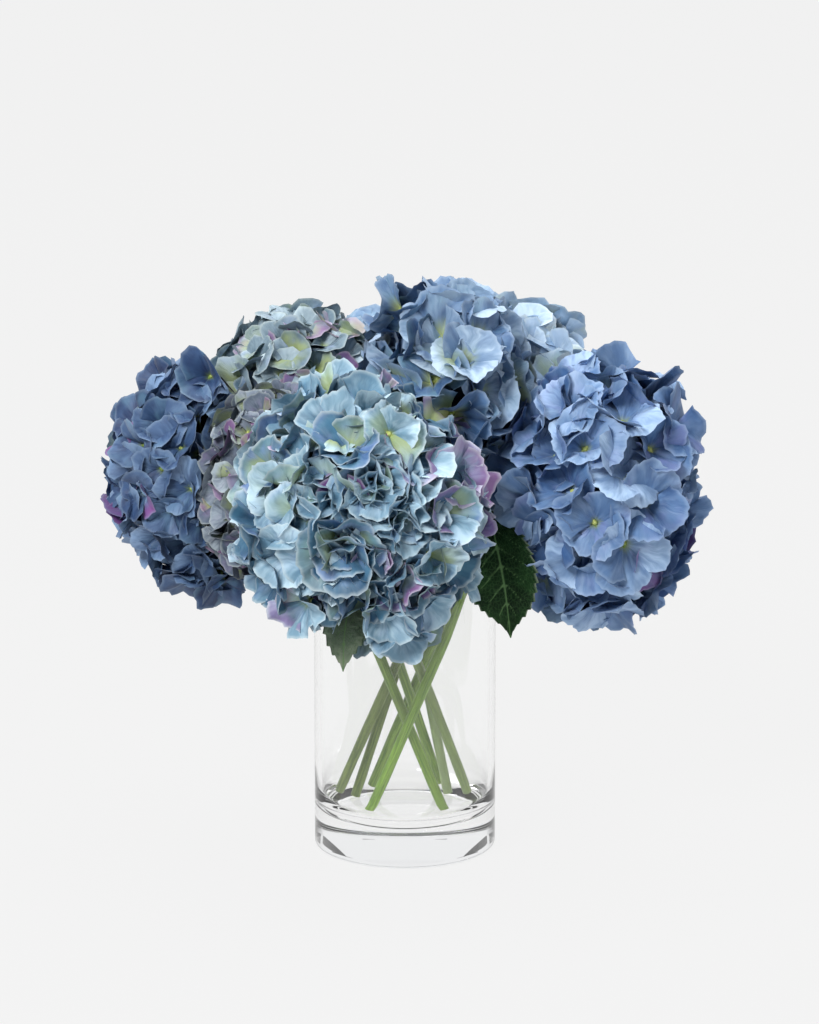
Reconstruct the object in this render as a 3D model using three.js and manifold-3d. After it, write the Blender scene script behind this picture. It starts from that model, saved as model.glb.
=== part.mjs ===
// Cut hydrangeas in a clear glass cylinder vase.
// Millimetres, +Z up. The origin is the middle of the vase's underside, and the front faces -Y.

import * as THREE from 'three';
import { mergeVertices } from 'three/addons/utils/BufferGeometryUtils.js';
import Module from 'manifold-3d';

const wasm = await Module();
wasm.setup();

// Driving dimensions

const GAP = 0.3;

const VASE = {
  radius: 63.5,
  height: 203,
  wall: 4.5,
  floor: 25,
  bedRound: 20,
  footRound: 4,
  lipRound: 1.2,
  segments: 44,
  arcSteps: 3,
};

// A stem ends inside its head, at this share of the way from the head's centre to where it came in
const STEM = {
  radius: 3.5,
  sides: 8,
  stepLength: 26,
  endShare: 0.3,
};

// A stem runs straight from its cut foot to its rim point, just above the vase, and then bends
// to where it enters its head. The straight lines cross like those of a twisted bundle, at least
// 9 mm apart. A foot gives only x and y, because its height follows from the glass below it.
const STEM_ROUTES = {
  left: { foot: [28.3, -20.6], rim: [-45.6, 7.7], entry: [-90, 24, 232] },
  midleft: { foot: [24.7, 44.6], rim: [-27.7, -9.8], entry: [-58, -10, 235] },
  backleft: { foot: [31.1, 28.8], rim: [-4.7, 50.7], entry: [-40, 45, 255] },
  front: { foot: [45.3, 21.1], rim: [-15.4, -39.5], entry: [-25, -64, 232] },
  top: { foot: [-47.7, 18.5], rim: [26.2, -8.2], entry: [27, -13, 268] },
  right: { foot: [-25.4, -21], rim: [48.8, -21.1], entry: [82, -13, 229] },
  backright: { foot: [-23.8, 42.1], rim: [47, 18.1], entry: [57, 48, 260] },
  back: { foot: [-36, 21.7], rim: [22.5, 38.8], entry: [0, 82, 240] },
};
const RIM_POINT_HEIGHT = 206;
// Shares of the straight stretch at which its middle points lie
const STRAIGHT_SHARES = [0.35, 0.7];

// Each mophead is an ellipsoid of florets round the end of its stem.
const HEADS = {
  left: { centre: [-139, 35, 262], radii: [75, 80, 90], colour: 0x46648f },
  midleft: { centre: [-88, -12, 262], radii: [62, 60, 78], colour: 0x8b9fa0 },
  backleft: { centre: [-72, 55, 308], radii: [72, 70, 70], colour: 0x8fa8ac },
  front: { centre: [-31, -92, 264], radii: [93, 88, 103], colour: 0x8fb0c0 },
  top: { centre: [24, -14, 334], radii: [68, 76, 78], colour: 0x6f93bd },
  right: { centre: [132, -20, 262], radii: [85, 84, 102], colour: 0x6b90c6 },
  backright: { centre: [74, 64, 308], radii: [74, 72, 76], colour: 0xa4bec6 },
  back: { centre: [-12, 112, 282], radii: [78, 74, 78], colour: 0x7f9fba },
};

// A floret is one thin arched blade cut into four lobes. Lengths are shares of its head's radius:
// reach is the distance from the floret's axis, height the distance from the head's centre.
const FLORET = {
  lobes: 4,
  directions: 17,
  thickness: 0.9,
  throat: { reach: 0, height: 0.56 },
  notch: { reach: 0.2, height: 0.87 },
  cheek: { reach: 0.25, height: 0.92 },
  shoulder: { reach: 0.42, height: 0.99, turn: 0.45 },
  tip: { reach: 0.47, height: 1.02 },
};

// Neighbouring florets stand in different layers, so that their lobes lie over each other
const LAYERS = [1, 0.91, 0.82];
const NEIGHBOUR_ANGLE = 0.95;

const CORE_SHARE = 0.66;
const CORE_DETAIL = 1;

// Within this distance of the wall between two heads, florets bend to lie along it.
const BEND_ZONE = 14;
// A floret whose middle would stand this far over that wall is left out.
const OVER_WALL = 9;
// A floret is left out too if bending folds it so far: the cosine between a face and its corners
const FOLD_LIMIT = 0.05;
// No florets stand where the stem comes in, within this angle of it.
const BARE_ANGLE = 0.5;

// Each head draws the twist of its florets from its own seed, counted up from this one
const FIRST_SEED = 31;

// A blade is widest in its middle. It is round towards its stalk, because baseFullness is under 1, and
// drawn out to a point, because tipFullness is over 1. Its edges stand fold times the half width above
// its rib.
const LEAF = {
  thickness: 0.9,
  teeth: 6,
  toothLength: 2.6,
  baseFullness: 0.6,
  tipFullness: 1.4,
  fold: 0.3,
  stalkRadius: 1.5,
  stalkSides: 6,
  stalkSteps: 6,
  stalkIntoBlade: 0.35,
};

// A leaf grows from a stem at a share of its length. Its stalk runs to the first blade point.
const LEAVES = {
  leaf_right: {
    stem: 'right',
    along: 0.84,
    blade: [[58, -34, 250], [64, -48, 226], [69, -55, 200], [73, -53, 165]],
    width: 50,
    side: [0.95, -0.25, 0.1],
  },
  leaf_left: {
    stem: 'front',
    along: 0.84,
    blade: [[-31, -78, 214], [-37, -97, 203], [-41, -108, 184], [-42, -108, 157]],
    width: 30,
    side: [0.95, 0.2, 0.15],
  },
};

const COLOUR = { glass: 0xdfe9e8, stem: 0x6f9440, leaf: 0x2f4f33 };

// No floret points this way, so it can be crossed with any of their directions
const ASKEW = new THREE.Vector3(0.31, 0.22, 1);

// Small helpers

const vector = (list) => new THREE.Vector3(...list);

function seededRandom(seed) {
  let state = seed;
  return () => {
    state = (state * 1664525 + 1013904223) % 4294967296;
    return state / 4294967296;
  };
}

// A closed three.js geometry as a solid that can be joined and cut
function toSolid(geometry) {
  const bare = geometry.clone();
  bare.deleteAttribute('normal');
  bare.deleteAttribute('uv');
  const merged = mergeVertices(bare, 1e-4);
  const corners = [];
  const index = merged.index.array;
  for (let i = 0; i < index.length; i += 3) {
    const [a, b, c] = [index[i], index[i + 1], index[i + 2]];
    if (a !== b && b !== c && c !== a) corners.push(a, b, c);
  }
  return new wasm.Manifold(new wasm.Mesh({
    numProp: 3,
    vertProperties: new Float32Array(merged.attributes.position.array),
    triVerts: new Uint32Array(corners),
  }));
}

function toGeometry(solid) {
  const mesh = solid.getMesh();
  const geometry = new THREE.BufferGeometry();
  geometry.setAttribute('position', new THREE.BufferAttribute(new Float32Array(mesh.vertProperties), 3));
  geometry.setIndex(new THREE.BufferAttribute(new Uint32Array(mesh.triVerts), 1));
  geometry.computeVertexNormals();
  return geometry;
}

// The largest body of a solid, without the loose scraps that a cut can leave
function largestBody(solid) {
  const bodies = solid.decompose();
  return bodies.reduce((best, body) => (body.volume() > best.volume() ? body : best));
}

function partMesh(name, geometry, colour, roughness) {
  const material = new THREE.MeshStandardMaterial({ color: colour, roughness, metalness: 0 });
  const mesh = new THREE.Mesh(geometry, material);
  mesh.name = name;
  return mesh;
}

function faceNormal(points, [a, b, c]) {
  return points[b].clone().sub(points[a]).cross(points[c].clone().sub(points[a]));
}

function cornerNormals(points, faces) {
  const normals = points.map(() => new THREE.Vector3());
  for (const face of faces) {
    const across = faceNormal(points, face);
    for (const corner of face) normals[corner].add(across);
  }
  return normals.map((normal) => normal.normalize());
}

// True for a sheet squeezed so hard that a face turns away from its own corners
function isFolded({ points, faces }) {
  const normals = cornerNormals(points, faces);
  return faces.some((face) => {
    const across = faceNormal(points, face).normalize();
    return face.some((corner) => normals[corner].dot(across) < FOLD_LIMIT);
  });
}

// A curved sheet given a thickness: the points moved both ways along their normals, with
// the same triangles on both faces, and a narrow wall round the outline.
function thickenSheet({ points, faces, outline }, thickness) {
  const normals = cornerNormals(points, faces);
  const positions = [];
  for (const side of [0.5, -0.5]) {
    points.forEach((point, i) => {
      const moved = point.clone().addScaledVector(normals[i], side * thickness);
      positions.push(moved.x, moved.y, moved.z);
    });
  }
  const count = points.length;
  const index = [];
  for (const [a, b, c] of faces) {
    index.push(a, b, c, a + count, c + count, b + count);
  }
  outline.forEach((a, i) => {
    const b = outline[(i + 1) % outline.length];
    index.push(a, a + count, b, b, a + count, b + count);
  });
  const geometry = new THREE.BufferGeometry();
  geometry.setAttribute('position', new THREE.Float32BufferAttribute(positions, 3));
  geometry.setIndex(index);
  return geometry;
}

// Vase: a straight glass cylinder with a thick floor that curves up into the wall

const innerRadius = VASE.radius - VASE.wall;

function arcPoints(centreX, centreY, radius, from, to) {
  const points = [];
  for (let i = 0; i <= VASE.arcSteps; i += 1) {
    const angle = from + ((to - from) * i) / VASE.arcSteps;
    points.push(new THREE.Vector2(centreX + radius * Math.cos(angle), centreY + radius * Math.sin(angle)));
  }
  return points;
}

function vaseGeometry() {
  const { radius, height, floor, bedRound, footRound, lipRound } = VASE;
  const quarter = Math.PI / 2;
  const profile = [
    new THREE.Vector2(0, 0),
    ...arcPoints(radius - footRound, footRound, footRound, -quarter, 0),
    new THREE.Vector2(radius, height - lipRound),
    new THREE.Vector2(radius - lipRound, height),
    new THREE.Vector2(innerRadius + lipRound, height),
    new THREE.Vector2(innerRadius, height - lipRound),
    ...arcPoints(innerRadius - bedRound, floor + bedRound, bedRound, 0, -quarter),
    new THREE.Vector2(0, floor),
  ];
  return new THREE.LatheGeometry(profile, VASE.segments).rotateX(quarter);
}

// Height of the glass under a point at this distance from the vase's axis. The round edge of the
// bed is made of flat strips, which stand a little nearer its centre than the true arc.
function bedHeight(distance) {
  const past = distance - (innerRadius - VASE.bedRound);
  if (past < 0) return VASE.floor;
  const stripRadius = VASE.bedRound * Math.cos(Math.PI / 4 / VASE.arcSteps);
  return VASE.floor + VASE.bedRound - Math.sqrt(stripRadius ** 2 - past ** 2);
}

// The space that heads keep out of: the whole vase, its inside included
function vaseKeepOut() {
  const geometry = new THREE.CylinderGeometry(
    VASE.radius + GAP,
    VASE.radius + GAP,
    VASE.height + 2 * GAP,
    VASE.segments,
  );
  return toSolid(geometry.rotateX(Math.PI / 2).translate(0, 0, VASE.height / 2));
}

// Stems

// The height at which a slanting cut end stands just clear of the glass all round its edge
function footHeight(foot, rim) {
  const direction = rim.clone().sub(new THREE.Vector3(...foot, VASE.floor)).normalize();
  const first = new THREE.Vector3(0, 0, 1).cross(direction).normalize();
  const second = direction.clone().cross(first);
  const heights = [];
  const edgeSteps = 24;
  for (let i = 0; i < edgeSteps; i += 1) {
    const angle = (2 * Math.PI * i) / edgeSteps;
    const edge = first.clone().multiplyScalar(STEM.radius * Math.cos(angle));
    edge.addScaledVector(second, STEM.radius * Math.sin(angle));
    heights.push(bedHeight(Math.hypot(foot[0] + edge.x, foot[1] + edge.y)) - edge.z);
  }
  return Math.max(...heights) + GAP;
}

function stemCurve(name) {
  const route = STEM_ROUTES[name];
  const rim = new THREE.Vector3(...route.rim, RIM_POINT_HEIGHT);
  const start = new THREE.Vector3(...route.foot, footHeight(route.foot, rim));
  const straight = STRAIGHT_SHARES.map((share) => start.clone().lerp(rim, share));
  const entry = vector(route.entry);
  const end = vector(HEADS[name].centre).lerp(entry, STEM.endShare);
  return new THREE.CatmullRomCurve3([start, ...straight, rim, entry, end]);
}

function tubeGeometry(curve, radius, sides, steps) {
  const section = new THREE.Shape();
  for (let i = 0; i < sides; i += 1) {
    const angle = (2 * Math.PI * i) / sides;
    const corner = [radius * Math.cos(angle), radius * Math.sin(angle)];
    if (i === 0) section.moveTo(...corner);
    else section.lineTo(...corner);
  }
  return new THREE.ExtrudeGeometry(section, { steps, extrudePath: curve, bevelEnabled: false });
}

function stemGeometry(name) {
  const curve = stemCurves[name];
  const steps = Math.round(curve.getLength() / STEM.stepLength);
  return tubeGeometry(curve, STEM.radius, STEM.sides, steps);
}

// The socket that a stem needs: its tube, a little longer at the end, and wider by three gaps,
// because the flat sides of the two tubes don't run alike
function stemClearance(name) {
  const curve = stemCurves[name];
  const points = curve.getSpacedPoints(Math.round(curve.getLength() / STEM.stepLength));
  const last = points.at(-1);
  last.add(last.clone().sub(points.at(-2)).normalize().multiplyScalar(GAP));
  const longer = new THREE.CatmullRomCurve3(points);
  return toSolid(tubeGeometry(longer, STEM.radius + 3 * GAP, STEM.sides, 2 * points.length));
}

const stemCurves = Object.fromEntries(Object.keys(STEM_ROUTES).map((name) => [name, stemCurve(name)]));

// Leaves: a toothed blade folded along its rib, on a short stalk. A leaf that is grown by some
// amount all round is the slot that a head needs to clear it.

function bladeHalfWidth(leaf, share) {
  const fullness = share < 0.5 ? LEAF.baseFullness : LEAF.tipFullness;
  return (leaf.width / 2) * Math.sin(Math.PI * share) ** fullness;
}

function leafSheet(leaf, grow) {
  const route = leaf.blade.map(vector);
  route.at(-1).add(route.at(-1).clone().sub(route.at(-2)).setLength(3 * grow));
  route[0].add(route[0].clone().sub(route[1]).setLength(3 * grow));
  const curve = new THREE.CatmullRomCurve3(route);
  const side = vector(leaf.side).normalize();
  const points = [];
  const ribs = [];
  const edges = { left: [], right: [] };
  const add = (point) => points.push(point) - 1;
  for (let i = 0; i <= LEAF.teeth; i += 1) {
    const share = i / LEAF.teeth;
    const rib = curve.getPoint(share);
    const along = curve.getTangent(share);
    const across = side.clone().addScaledVector(along, -side.dot(along)).normalize();
    const up = along.clone().cross(across).normalize();
    ribs.push(add(rib));
    if (i === LEAF.teeth) break;
    const middle = (i + 0.5) / LEAF.teeth;
    for (const [key, sign] of [['left', -1], ['right', 1]]) {
      const edgePoint = (at, extra) => {
        const half = bladeHalfWidth(leaf, at) + extra + 2 * grow;
        return curve.getPoint(at)
          .addScaledVector(across, sign * half)
          .addScaledVector(up, LEAF.fold * half);
      };
      if (i > 0) edges[key].push(add(edgePoint(share, 0)));
      edges[key].push(add(edgePoint(middle, LEAF.toothLength)));
    }
  }
  return { points, faces: leafFaces(ribs, edges), outline: leafOutline(ribs, edges) };
}

// Between two rib points lies one tooth: two or three triangles on each side of the rib
function leafFaces(ribs, edges) {
  const faces = [];
  for (const [key, flip] of [['left', false], ['right', true]]) {
    const edge = edges[key];
    for (let i = 0; i < LEAF.teeth; i += 1) {
      const tooth = edge[2 * i];
      const before = i > 0 ? edge[2 * i - 1] : ribs[0];
      const after = i < LEAF.teeth - 1 ? edge[2 * i + 1] : ribs[LEAF.teeth];
      const strip = [[ribs[i], before, tooth], [ribs[i], tooth, ribs[i + 1]], [ribs[i + 1], tooth, after]];
      for (const [a, b, c] of strip) {
        if (a === b || b === c || c === a) continue;
        faces.push(flip ? [a, c, b] : [a, b, c]);
      }
    }
  }
  return faces;
}

function leafOutline(ribs, edges) {
  return [ribs[0], ...edges.left, ribs[LEAF.teeth], ...edges.right.slice().reverse()];
}

function leafSolid(leaf, grow = 0) {
  const blade = toSolid(thickenSheet(leafSheet(leaf, grow), LEAF.thickness + 2 * grow));
  const stem = stemCurves[leaf.stem];
  const start = stem.getPointAt(leaf.along);
  const bladeStart = vector(leaf.blade[0]);
  const outward = bladeStart.clone().sub(start).normalize();
  const leaning = Math.abs(outward.dot(stem.getTangentAt(leaf.along)));
  const clear = (STEM.radius + 3 * GAP + LEAF.stalkRadius * leaning) / Math.sqrt(1 - leaning ** 2);
  const offStem = start.clone().addScaledVector(outward, clear - grow);
  const alongBlade = vector(leaf.blade[1]).sub(bladeStart);
  const intoBlade = bladeStart.clone().addScaledVector(alongBlade, LEAF.stalkIntoBlade);
  intoBlade.add(alongBlade.setLength(2 * grow));
  const curve = new THREE.CatmullRomCurve3([offStem, bladeStart, intoBlade]);
  const stalk = tubeGeometry(curve, LEAF.stalkRadius + 2 * grow, LEAF.stalkSides, LEAF.stalkSteps);
  return blade.add(toSolid(stalk));
}

// Heads

// The flat wall between two heads that meet, shared out by their radii along the line between them
function wallsOf(name) {
  const own = HEADS[name];
  const centre = vector(own.centre);
  const reach = (radii, direction) => 1 / direction.clone().divide(vector(radii)).length();
  return Object.keys(HEADS).filter((other) => other !== name).flatMap((other) => {
    const direction = vector(HEADS[other].centre).sub(centre);
    const distance = direction.length();
    direction.normalize();
    const ownReach = reach(own.radii, direction);
    const otherReach = reach(HEADS[other].radii, direction);
    if (distance > ownReach + otherReach + BEND_ZONE) return [];
    const share = ownReach / (ownReach + otherReach);
    return [{ normal: direction, at: centre.clone().addScaledVector(direction, distance * share) }];
  });
}

// Distance inside a wall, less than nothing beyond it
const insideWall = (wall, point) => wall.normal.dot(wall.at.clone().sub(point));

// Bends a point back to its own side of every wall, without folding what lies near it
function bendClear(walls, point) {
  for (const wall of walls) {
    const inside = insideWall(wall, point);
    if (inside < BEND_ZONE) {
      const kept = BEND_ZONE * Math.exp(inside / BEND_ZONE - 1);
      point.addScaledVector(wall.normal, inside - kept);
    }
  }
  return point;
}

// The half-space beyond a wall, as a block wide enough for any head
function beyondWall(wall) {
  const size = 600;
  const block = new THREE.BoxGeometry(size, size, size).translate(0, 0, (size - GAP) / 2);
  const turn = new THREE.Quaternion().setFromUnitVectors(new THREE.Vector3(0, 0, 1), wall.normal);
  block.applyQuaternion(turn).translate(...wall.at.toArray());
  return toSolid(block);
}

// Directions spread evenly over a sphere by the golden angle
function spreadDirections(count) {
  const golden = Math.PI * (3 - Math.sqrt(5));
  return Array.from({ length: count }, (_, i) => {
    const z = 1 - (2 * i + 1) / count;
    const ring = Math.sqrt(1 - z * z);
    return new THREE.Vector3(ring * Math.cos(golden * i), ring * Math.sin(golden * i), z);
  });
}

function floretSheet(direction, twist, layer, place) {
  const first = ASKEW.clone().cross(direction).normalize();
  const second = direction.clone().cross(first);
  const points = [];
  const add = ({ reach, height }, angle) => {
    const radius = reach > 0 ? height * layer : height;
    const outward = direction.clone().multiplyScalar(Math.sqrt(radius ** 2 - reach ** 2));
    outward.addScaledVector(first, reach * Math.cos(angle)).addScaledVector(second, reach * Math.sin(angle));
    return points.push(place(outward)) - 1;
  };
  const middle = add(FLORET.throat, 0);
  const lobeTurn = (2 * Math.PI) / FLORET.lobes;
  const outline = [];
  const cheeks = [];
  for (let i = 0; i < FLORET.lobes; i += 1) {
    const angle = twist + i * lobeTurn;
    outline.push(add(FLORET.notch, angle - lobeTurn / 2));
    cheeks.push(add(FLORET.cheek, angle));
    outline.push(add(FLORET.shoulder, angle - FLORET.shoulder.turn));
    outline.push(add(FLORET.tip, angle));
    outline.push(add(FLORET.shoulder, angle + FLORET.shoulder.turn));
  }
  const faces = [];
  const lobeSteps = outline.length / FLORET.lobes;
  cheeks.forEach((cheek, i) => {
    const rim = (step) => outline[(lobeSteps * i + step) % outline.length];
    faces.push([middle, rim(0), cheek], [middle, cheek, rim(lobeSteps)]);
    for (let step = 0; step < lobeSteps; step += 1) faces.push([cheek, rim(step), rim(step + 1)]);
  });
  return { points, faces, outline };
}

// The outermost layer that no neighbour stands in, or the lowest where all are taken
function freeLayer(florets, direction) {
  const near = florets.filter((floret) => floret.direction.angleTo(direction) < NEIGHBOUR_ANGLE);
  const taken = near.map((floret) => floret.layer);
  return LAYERS.find((layer) => !taken.includes(layer)) ?? LAYERS.at(-1);
}

function coreGeometry(head) {
  const radii = vector(head.radii).multiplyScalar(CORE_SHARE);
  return new THREE.IcosahedronGeometry(1, CORE_DETAIL).scale(...radii.toArray()).translate(...head.centre);
}

function headSolid(name, seed) {
  const head = HEADS[name];
  const centre = vector(head.centre);
  const radii = vector(head.radii);
  const walls = wallsOf(name);
  const random = seededRandom(seed);
  const stemDirection = stemCurves[name].getPointAt(1).sub(centre).divide(radii).normalize();
  const place = (unit) => bendClear(walls, unit.clone().multiply(radii).add(centre));
  const florets = [];
  let solid = toSolid(coreGeometry(head));
  for (const direction of spreadDirections(FLORET.directions)) {
    const twist = random() * Math.PI;
    const surface = direction.clone().multiply(radii).add(centre);
    const crowded = walls.some((wall) => insideWall(wall, surface) < -OVER_WALL);
    if (crowded || direction.angleTo(stemDirection) < BARE_ANGLE) continue;
    const layer = freeLayer(florets, direction);
    const sheet = floretSheet(direction, twist, layer, place);
    if (isFolded(sheet)) continue;
    florets.push({ direction, layer });
    solid = solid.add(toSolid(thickenSheet(sheet, FLORET.thickness)));
  }
  for (const wall of walls) solid = solid.subtract(beyondWall(wall));
  for (const cutter of headCutters) solid = solid.subtract(cutter);
  return largestBody(solid);
}

const headCutters = [
  vaseKeepOut(),
  ...Object.keys(STEM_ROUTES).map(stemClearance),
  ...Object.values(LEAVES).map((leaf) => leafSolid(leaf, 2.5 * GAP)),
];

// The whole arrangement

const arrangement = new THREE.Group();

arrangement.add(partMesh('vase', vaseGeometry(), COLOUR.glass, 0.05));

for (const name of Object.keys(STEM_ROUTES)) {
  arrangement.add(partMesh(`stem_${name}`, stemGeometry(name), COLOUR.stem, 0.6));
}

for (const [name, leaf] of Object.entries(LEAVES)) {
  arrangement.add(partMesh(name, toGeometry(leafSolid(leaf)), COLOUR.leaf, 0.55));
}

Object.keys(HEADS).forEach((name, i) => {
  const solid = headSolid(name, FIRST_SEED + i);
  arrangement.add(partMesh(`head_${name}`, toGeometry(solid), HEADS[name].colour, 0.75));
});

export default arrangement;
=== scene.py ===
# Cut hydrangeas in a clear glass cylinder vase: the fine pieces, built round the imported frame.
# Meshes are worked out in millimetres, +Z up and the front towards -Y, and scaled to metres.

import math
from collections import namedtuple

import bpy
import numpy as np
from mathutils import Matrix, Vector


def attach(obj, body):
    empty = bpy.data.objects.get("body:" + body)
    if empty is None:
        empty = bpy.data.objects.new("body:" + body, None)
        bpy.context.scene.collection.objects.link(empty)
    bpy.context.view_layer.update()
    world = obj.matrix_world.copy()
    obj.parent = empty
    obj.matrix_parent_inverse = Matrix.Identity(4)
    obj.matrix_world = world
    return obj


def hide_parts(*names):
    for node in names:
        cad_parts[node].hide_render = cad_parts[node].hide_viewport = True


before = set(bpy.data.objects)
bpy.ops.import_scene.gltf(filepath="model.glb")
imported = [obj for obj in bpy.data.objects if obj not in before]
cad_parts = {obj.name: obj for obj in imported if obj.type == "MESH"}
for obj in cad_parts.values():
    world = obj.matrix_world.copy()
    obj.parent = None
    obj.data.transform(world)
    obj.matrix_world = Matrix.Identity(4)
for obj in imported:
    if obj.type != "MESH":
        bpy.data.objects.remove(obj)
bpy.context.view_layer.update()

MM = 0.001
SEED = 5

# Driving dimensions, the same as the solids'

VASE = {
    "radius": 63.5, "height": 203.0, "wall": 4.5, "floor": 25.0,
    "bed_round": 20.0, "foot_round": 4.0, "lip_round": 1.6, "sides": 144, "arc_steps": 10,
}

# The rings of the vase between its rounds: radii across the foot and the bed, and heights up the
# outside and down the inside
FOOT_RADII = (0, 20, 40)
OUTSIDE_HEIGHTS = np.linspace(20, 180, 9)
INSIDE_HEIGHTS = np.linspace(180, 60, 7)
BED_RADII = (25, 10, 0)

# end_share is how deep a stem goes into its head: 0 is the head's middle and 1 the stem's entry.
# foot_gap is in gaps, and step is the distance between two rings of a stem.
STEM = {"radius": 3.5, "gap": 0.3, "foot_gap": 1.5, "end_share": 0.3, "sides": 20, "step": 4.0}

# A stem runs straight from its cut foot (x, y) to its rim point (x, y), just above the vase, and
# then bends to where it enters its head. The foot's height follows from the glass below it. grey is
# how greyed the stem's green is, from 0 for a fresh green to 1, and pale how whitish; on the stems
# at the back both are partly their own tone and partly painted haze of the glass's reflections over
# them.
Stem = namedtuple("Stem", "foot rim entry grey pale")
STEMS = dict(
    left=Stem((28.3, -20.6), (-45.6, 7.7), (-90, 24, 232), 0.25, 0.0),
    midleft=Stem((24.7, 44.6), (-27.7, -9.8), (-58, -10, 235), 0.35, 0.0),
    backleft=Stem((31.1, 28.8), (-4.7, 50.7), (-40, 45, 255), 0.1, 1.0),
    front=Stem((45.3, 21.1), (-15.4, -39.5), (-25, -64, 232), 0.5, 0.3),
    top=Stem((-47.7, 18.5), (26.2, -8.2), (27, -13, 268), 0.8, 0.0),
    right=Stem((-25.4, -21), (48.8, -21.1), (82, -13, 229), 0.0, 0.0),
    backright=Stem((-23.8, 42.1), (47, 18.1), (57, 48, 260), 0.3, 0.0),
    back=Stem((-36, 21.7), (22.5, 38.8), (0, 82, 240), 0.8, 0.0),
)
RIM_POINT_HEIGHT = 206.0
# The shares of the way to the rim point at which the stem's curve is held straight
STRAIGHT_SHARES = (0.35, 0.7)
# Slight swellings along a stem, as (share of its radius, radians over its length)
SWELLS = ((0.02, 23), (0.015, 51))
# The hollowed cut end, from the stem inward, as (share of its radius, distance past its foot)
CUT_RINGS = ((0.97, 0.12), (0.9, 0.2), (0.45, 0.1), (0.38, 0.05))

# Each mophead: the ellipsoid it fills, how far its petals go past the walls to its neighbours
# (reach), how far inside the ellipsoid its florets stand (inset), the length of its petals, the
# distance between florets, the columns and rows of a petal's grid, and a petal's rise above the
# plane across the floret at its claw and at its tip, in degrees. ruffle is the depth of the ripples
# along a petal's margin and waves their number.
Head = namedtuple("Head", "centre radii reach inset petal spacing grid rise ruffle waves")
HEADS = dict(
    left=Head((-139, 35, 262), (75, 80, 90), 0, 8, 24, 27.5, (14, 5), (52, 8), 2.3, 1.6),
    midleft=Head((-88, -12, 262), (62, 60, 78), 12, 7, 17, 19, (10, 4), (50, 16), 1.0, 1.3),
    backleft=Head((-72, 55, 308), (72, 70, 70), 6, 6, 20, 23, (12, 4), (50, 14), 1.2, 1.4),
    front=Head((-31, -92, 264), (93, 88, 103), 9, 8, 29, 34, (20, 5), (54, 16), 3.3, 2.0),
    top=Head((24, -14, 334), (68, 76, 78), 6, 9, 34, 38, (22, 5), (56, 16), 2.9, 1.7),
    right=Head((132, -20, 262), (85, 84, 102), 7, 13, 32, 36, (22, 5), (50, 6), 2.7, 1.7),
    backright=Head((74, 64, 308), (74, 72, 76), 6, 4, 24, 28, (12, 4), (48, 12), 1.5, 1.5),
    back=Head((-12, 112, 282), (78, 74, 78), 5, 6, 29, 34, (12, 4), (48, 8), 1.9, 1.6),
)

# Planes past which no floret of a head stands, as (outward way, point)
TRIMS = {
    "left": [((-0.75, 0, 0.66), (-179, 35, 326)), ((-0.4, 0, -0.92), (-169, 35, 194))],
    "front": [((-0.5, 0, -0.866), (-82, -100, 201))],
    "backright": [((0.6, 0, 0.8), (113, 64, 360)), ((0.2, 0, 0.98), (74, 64, 372))],
}

# The way in which a head's florets are rosettes, and how far round it, as a cosine
ROSETTE_WAYS = {"front": (0.08, -1, 0.02)}
ROSETTE_COSINE = math.cos(0.62)

# Florets that stand apart, below the left and front heads, on top of the left and top ones and in a
# gap of the backright one: claw place, axis and petal length
LOOSE_FLORETS = {
    "left": [
        ((-143, 6, 196), (-0.2, -0.5, -0.85), 28),
        ((-127, 0, 194), (0.2, -0.6, -0.75), 28),
        ((-134, 6, 336), (-0.1, -0.9, 0.35), 25),
    ],
    "front": [((-5, -118, 196), (0.05, -0.8, -0.6), 29)],
    "top": [((-2, -18, 388), (-1.0, 0.1, 0.2), 32)],
    "backright": [((59, 18, 244), (0.1, -1, -0.1), 24)],
}

# The whorls of a floret: how many petals, the degrees added to their rise at the claw and at the
# tip, their length as a share of the outer ones, and how far they stand from the floret's axis
OPEN_WHORLS = ((4, 0, 0, 1.0, 0.5),)
ROSETTE_WHORLS = ((5, 4, 16, 1.05, 4.0), (4, 18, 40, 0.95, 2.5), (3, 28, 64, 0.8, 1.0))
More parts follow.
